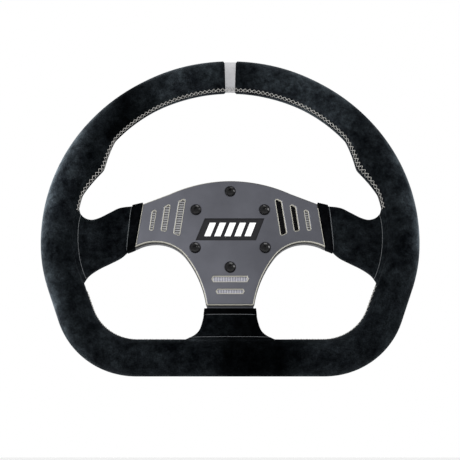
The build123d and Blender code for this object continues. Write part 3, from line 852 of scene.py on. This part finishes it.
def make_cover(side_name, edge_a, edge_b, rim_span, materials):
    """One spoke cover with the seams where it meets the grip and its hem."""
    rings, depths = cover_rings(edge_a, edge_b, rim_span)
    cover = cover_mesh(f"spoke_suede_{side_name}", rings, materials[0])
    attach(cover, "wheel")
    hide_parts(f"spoke_cover_{side_name}")
    path = seam_path(rings, depths)
    hem_path = rings[1][HEM_THREAD_SKIPS:COVER_WIDE + 1 - HEM_THREAD_SKIPS]
    threads = [tube(path + path[:1], SEAM_THREAD), tube(hem_path, SEAM_THREAD)]
    vertices, faces = join_parts(threads)
    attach(add_mesh(f"spoke_seam_{side_name}", vertices, faces, materials[1]), "wheel")


def edge_curve(points, flip):
    """A function of the share along an edge, in metres, mirrored if flip is -1."""
    def at(share):
        x, z = curve_through(points, share)
        return Vector((flip * x * MM, z * MM))
    return at


def make_spoke_covers(materials):
    """The two side covers and the bottom cover."""
    top, low = edge_curve(SIDE_TOP, 1), edge_curve(SIDE_LOW, 1)
    make_cover("right", top, low, SIDE_RIM, materials)
    top, low = edge_curve(SIDE_TOP, -1), edge_curve(SIDE_LOW, -1)
    span = (2 * HALF_LENGTH - SIDE_RIM[1], 2 * HALF_LENGTH - SIDE_RIM[0])
    make_cover("left", low, top, span, materials)
    right, left = edge_curve(BOTTOM_SIDE, 1), edge_curve(BOTTOM_SIDE, -1)
    make_cover("bottom", right, left, BOTTOM_RIM, materials)


# ---- Camera, light and floor ----


def make_camera():
    """The camera at the photograph's angle, aimed at the middle of the bolt circle."""
    data = bpy.data.cameras.new("camera")
    data.lens = CAMERA_LENS
    data.shift_x, data.shift_y = CAMERA_SHIFT
    camera = bpy.data.objects.new("camera", data)
    target = Vector((0, PLATE_FRONT_Y, 0))
    away = Vector((0, -cos(CAMERA_ELEVATION), sin(CAMERA_ELEVATION)))
    camera.location = target + CAMERA_DISTANCE * away
    camera.rotation_euler = (-away).to_track_quat("-Z", "Y").to_euler()
    bpy.context.scene.collection.objects.link(camera)
    bpy.context.scene.camera = camera


def add_light(name, place, size, power):
    """A soft square white light aimed at the wheel."""
    data = bpy.data.lights.new(name, "AREA")
    data.size = size
    data.energy = power
    light = bpy.data.objects.new(name, data)
    light.location = place
    aim = LIGHTS_AIM - Vector(place)
    light.rotation_euler = aim.to_track_quat("-Z", "Y").to_euler()
    bpy.context.scene.collection.objects.link(light)


def make_studio():
    """A pale floor below the wheel, a white world and four soft lights."""
    world = bpy.data.worlds.new("studio")
    world.use_nodes = True
    background = world.node_tree.nodes["Background"]
    background.inputs["Color"].default_value = (1.0, 1.0, 1.0, 1.0)
    background.inputs["Strength"].default_value = 1.0
    bpy.context.scene.world = world
    bpy.context.scene.view_settings.view_transform = "Standard"
    corners = [(x * FLOOR_REACH, y * FLOOR_REACH, FLOOR_Z)
               for x, y in ((-1, -1), (1, -1), (1, 1), (-1, 1))]
    nodes = Nodes("floor_paper")
    tone = nodes.ramp(nodes.noise(3.0, 3.0), [(0.3, grey(0.86)), (0.7, grey(0.88))])
    nodes.shade(Base_Color=tone, Roughness=0.9)
    add_mesh("floor", corners, [(0, 1, 2, 3)], nodes.material)
    for name, place, size, power in LIGHTS:
        add_light(name, place, size, power)


# ---- Everything ----


def paint_cad(suede, hem):
    """Give every CAD node its material."""
    frame_paint = anodised_material("frame_dark_anodised", (0.05, 0.052, 0.058), 0.38)
    hub = anodised_material("hub_black_anodised", (0.028, 0.029, 0.033), 0.36)
    collar = anodised_material("collar_silver_anodised", (0.42, 0.43, 0.45), 0.3)
    inlay = inlay_material("inlay_grey", (0.08, 0.08, 0.083), (0.28, 0.28, 0.29))
    inlay_pale = inlay_material("inlay_pale", (0.24, 0.24, 0.27), (0.40, 0.40, 0.45))
    core = steel_material("core_tube_drawn", (0.5, 0.51, 0.52), 0.35)
    foam = plastic_material("foam_black", (0.03, 0.03, 0.03), 0.9, 700.0)
    # Painted shade: near black with almost no gloss, standing for the dark seen through the two
    # inner right slots
    inlay_painted_shade = plastic_material("inlay_painted_shade", (0.004, 0.004, 0.0045), 0.5, 1500.0, 0.03)
    tile = plastic_material("emblem_tile_dark", (0.012, 0.012, 0.014), 0.5, 1800.0, 0.12)
    bars = plastic_material("emblem_bars_white", (0.82, 0.82, 0.82), 0.35, 1500.0)
    screw = plastic_material("screw_black_gloss", (0.003, 0.003, 0.0035), 0.12, 900.0, 0.2)
    spline = steel_material("spline_broached", (0.5, 0.49, 0.47), 0.28, stretch=(1, 0.05, 1))
    spring = steel_material("spring_wire", (0.45, 0.45, 0.46), 0.3)
    ring = steel_material("ring_phosphated", (0.09, 0.09, 0.09), 0.45)
    ball = steel_material("ball_polished", (0.75, 0.76, 0.78), 0.12)
    materials = {
        "spoke_hem_left": hem, "spoke_hem_right": hem, "spoke_hem_bottom": hem,
        "centre_band": band_material(), "rim_core": core, "rim_foam": foam,
        "spoke_frame": frame_paint, "face_plate": plate_material(), "emblem_tile": tile,
        "emblem_bars": bars, "face_screws": screw, "hub_body": hub, "hub_cap": hub,
        "spline_insert": spline, "release_collar": collar, "collar_spring": spring,
        "retaining_ring": ring,
    }
    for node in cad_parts:
        if node in materials:
            paint_node(node, materials[node])
        # The two inner right slots get the painted shade
        elif node in ("slot_inlay_inner_right", "slot_inlay_middle_right"):
            paint_node(node, inlay_painted_shade)
        elif node.startswith("slot_inlay_bottom"):
            paint_node(node, inlay_pale)
        elif node.startswith("slot_inlay"):
            paint_node(node, inlay)
        elif node.startswith("locking_ball"):
            paint_node(node, ball)
        else:
            paint_node(node, suede)


def squash_spring():
    """Give the coil spring, which shortens against the flange as the collar is pulled, its own mesh.
    """
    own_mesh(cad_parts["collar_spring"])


def build():
    """Every piece of the scene."""
    make_camera()
    make_studio()
    suede = suede_material("suede_black", (0.0014, 0.0018, 0.0024), (0.016, 0.020, 0.023), 0.11)
    hem = suede_material("suede_hem", (0.0012, 0.0014, 0.0018), (0.006, 0.007, 0.008), 0.03)
    thread = thread_material("thread_silver", (0.36, 0.35, 0.33))
    seam = thread_material("thread_grey", (0.075, 0.083, 0.09))
    paint_cad(suede, hem)
    squash_spring()
    make_grip(suede)
    make_stitching(thread)
    make_spoke_covers((suede, seam))


build()
